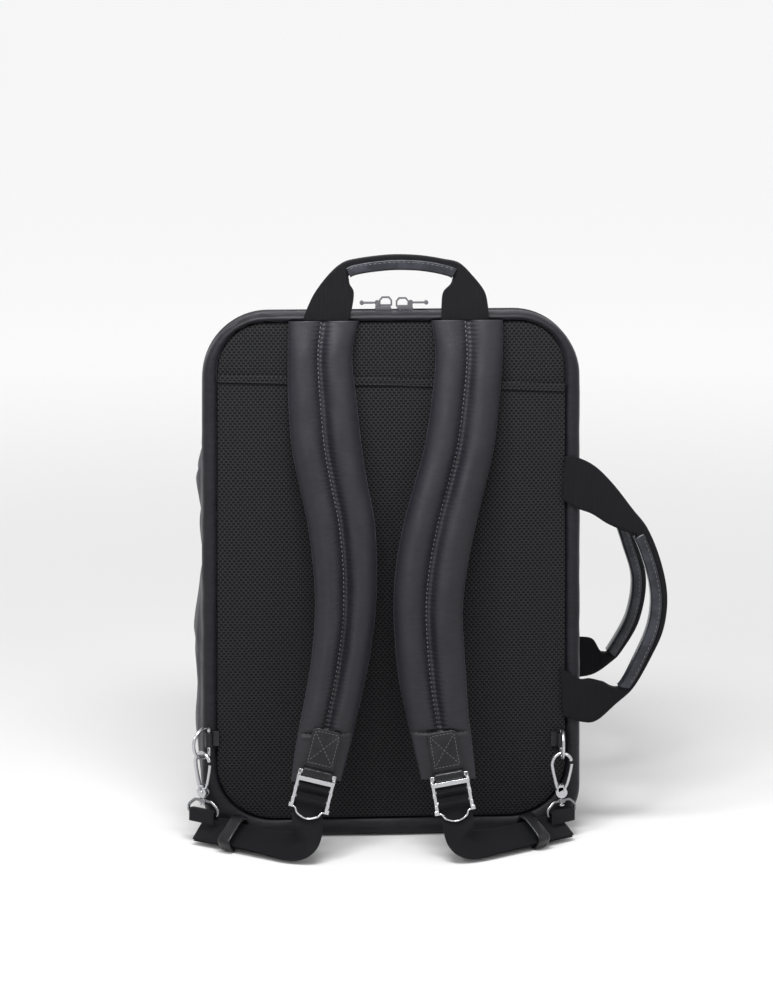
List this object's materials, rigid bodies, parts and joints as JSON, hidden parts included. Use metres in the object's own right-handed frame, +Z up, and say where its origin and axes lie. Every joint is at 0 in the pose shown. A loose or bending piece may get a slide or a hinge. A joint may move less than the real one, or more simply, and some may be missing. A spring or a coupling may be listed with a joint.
{
  "type": "convertible backpack",
  "caption": "Soft rectangular backpack with padded shoulder straps, a mesh back with a luggage sleeve, a top handle and briefcase handles on one side.",
  "frame": {"origin": "middle of the bag's flat bottom face", "axes": "+Z up, along the bag's height; -Y the wearer's side, with the shoulder straps; +X the side with the briefcase handles"},
  "size_m": [0.383, 0.1906, 0.4696],
  "materials": {
    "nylon": "tightly woven, slightly glossy",
    "air_mesh": "open spacer mesh, matt",
    "webbing": "ribbed woven tape",
    "leather": "fine grain, semi-gloss",
    "zip": "zip tape with a metal-look coil",
    "gunmetal": "polished, slightly dark",
    "dark_metal": "polished, dark"
  },
  "bodies": {
    "bag": {"bag_shell": "nylon", "main_zip": "zip", "back_panel": "air_mesh", "luggage_sleeve": "air_mesh", "top_handle": "webbing", "top_handle_grip": "leather", "back_handle": "webbing", "back_handle_grip": "leather", "front_handle": "webbing", "front_handle_grip": "leather", "zip_slider_left": "gunmetal", "shoulder_pad_left": "nylon", "leather_patch_left": "leather", "ladder_buckle_left": "gunmetal", "adjuster_webbing_left": "webbing", "eye_chape_left": "webbing", "strap_keeper_left": "leather", "swivel_eye_left": "dark_metal", "d_ring_left": "gunmetal", "ring_tab_left": "leather", "zip_slider_right": "gunmetal", "shoulder_pad_right": "nylon", "leather_patch_right": "leather", "ladder_buckle_right": "gunmetal", "adjuster_webbing_right": "webbing", "eye_chape_right": "webbing", "strap_keeper_right": "leather", "swivel_eye_right": "dark_metal", "d_ring_right": "gunmetal", "ring_tab_right": "leather"},
    "hook_gate_left": {"hook_gate_left": "gunmetal"},
    "hook_gate_right": {"hook_gate_right": "gunmetal"},
    "snap_hook_left": {"snap_hook_left": "gunmetal"},
    "snap_hook_right": {"snap_hook_right": "gunmetal"},
    "zip_pull_left": {"zip_pull_left": "gunmetal"},
    "zip_pull_right": {"zip_pull_right": "gunmetal"}
  },
  "joints": [
    {"name": "hook_swivel_left", "type": "hinge", "parent": "bag", "child": "snap_hook_left", "pos_m": [-0.151, -0.0636, 0.043], "axis": [0, 0, 1], "range_deg": [-12, 12]},
    {"name": "gate_hinge_left", "type": "hinge", "parent": "snap_hook_left", "child": "hook_gate_left", "pos_m": [-0.151, -0.0636, 0.043], "axis": [0.6691, 0.7431, 0], "range_deg": [-14, 0]},
    {"name": "hook_swivel_right", "type": "hinge", "parent": "bag", "child": "snap_hook_right", "pos_m": [0.1355, -0.0657, 0.0386], "axis": [0, 0, 1], "range_deg": [-12, 12]},
    {"name": "gate_hinge_right", "type": "hinge", "parent": "snap_hook_right", "child": "hook_gate_right", "pos_m": [0.1355, -0.0657, 0.0386], "axis": [0, 1, 0], "range_deg": [-14, 0]},
    {"name": "pull_hinge_left", "type": "hinge", "parent": "bag", "child": "zip_pull_left", "pos_m": [-0.01065, -0.036, 0.4305], "axis": [0, 1, 0], "range_deg": [0, 80]},
    {"name": "pull_hinge_right", "type": "hinge", "parent": "bag", "child": "zip_pull_right", "pos_m": [0.01565, -0.036, 0.4305], "axis": [0, 1, 0], "range_deg": [-80, 0]}
  ]
}
